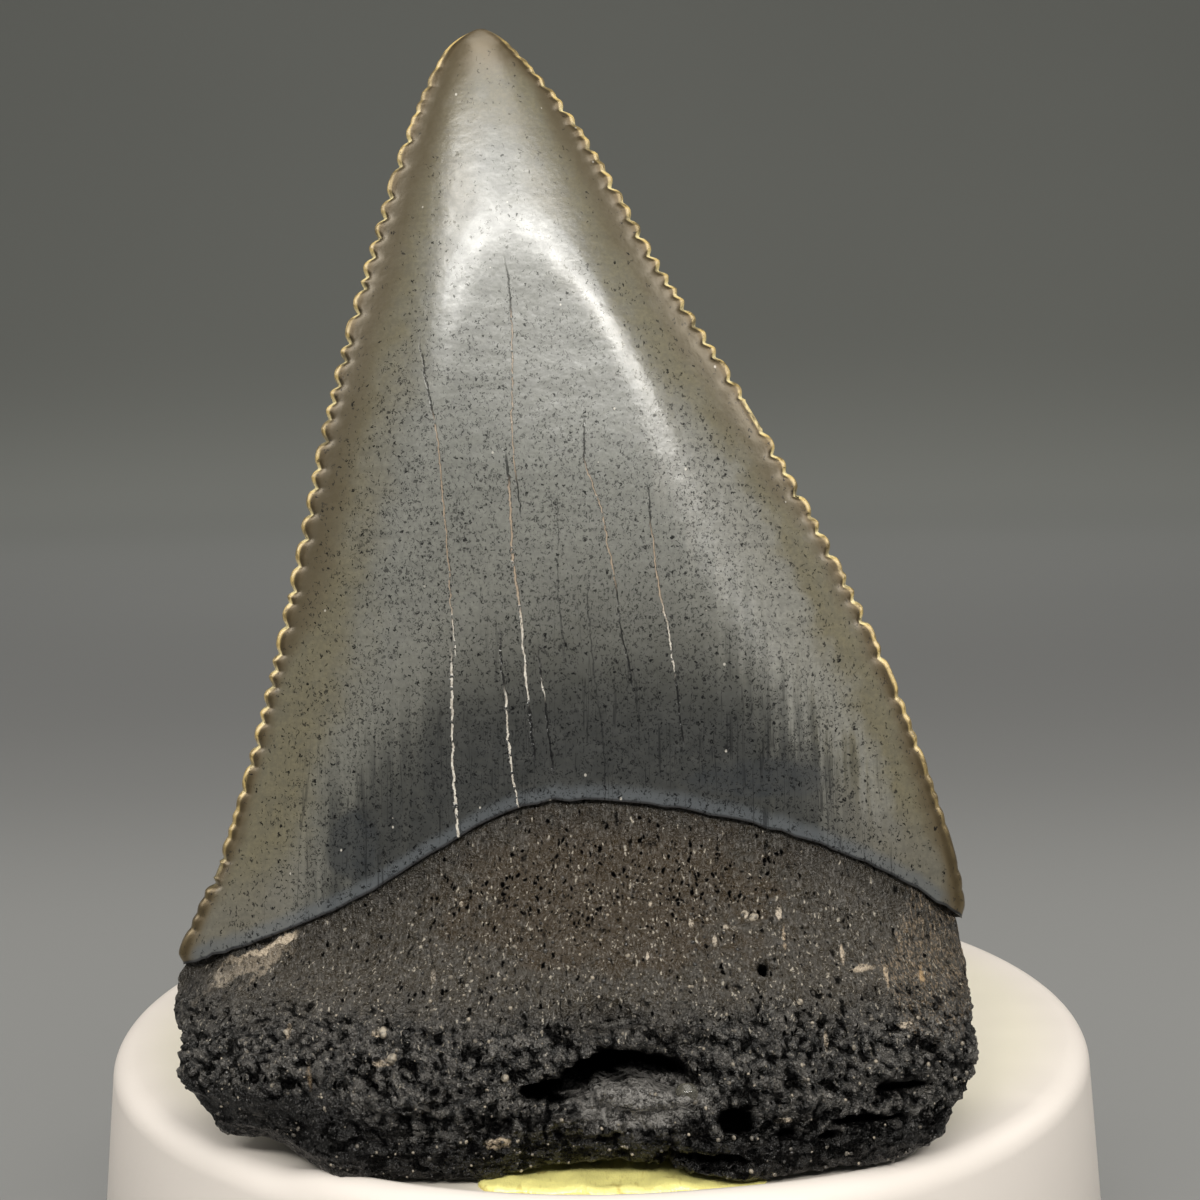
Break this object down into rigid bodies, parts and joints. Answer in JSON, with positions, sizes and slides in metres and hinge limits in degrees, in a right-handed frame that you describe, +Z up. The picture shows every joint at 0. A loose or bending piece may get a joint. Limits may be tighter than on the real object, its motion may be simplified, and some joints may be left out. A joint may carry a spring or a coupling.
{
  "type": "fossil shark tooth on a stand",
  "caption": "Upright triangular fossil shark tooth with serrated cutting edges and a thick pitted root, fixed by a putty pad on a round white plinth.",
  "frame": {"origin": "centre of the plinth's flat underside, which is the bottom centre of the whole object's box", "axes": "+Z up, along the tooth's height; the tooth's inner (tongue) side and the plinth's front lip face -Y; +X is to the right seen from the front"},
  "size_m": [0.054, 0.054, 0.0714],
  "materials": {
    "white_plastic": "warm white, fine moulded grain, satin",
    "gold_putty": "pressed gold-yellow putty with a dull sheen",
    "fossil_tooth": "grey-blue glossy fossil enamel with tan serrated edges over a dark brown, pitted, mineralised root"
  },
  "bodies": {
    "root": {"stand": "white_plastic", "mounting_putty": "gold_putty", "tooth": "fossil_tooth"}
  },
  "joints": []
}
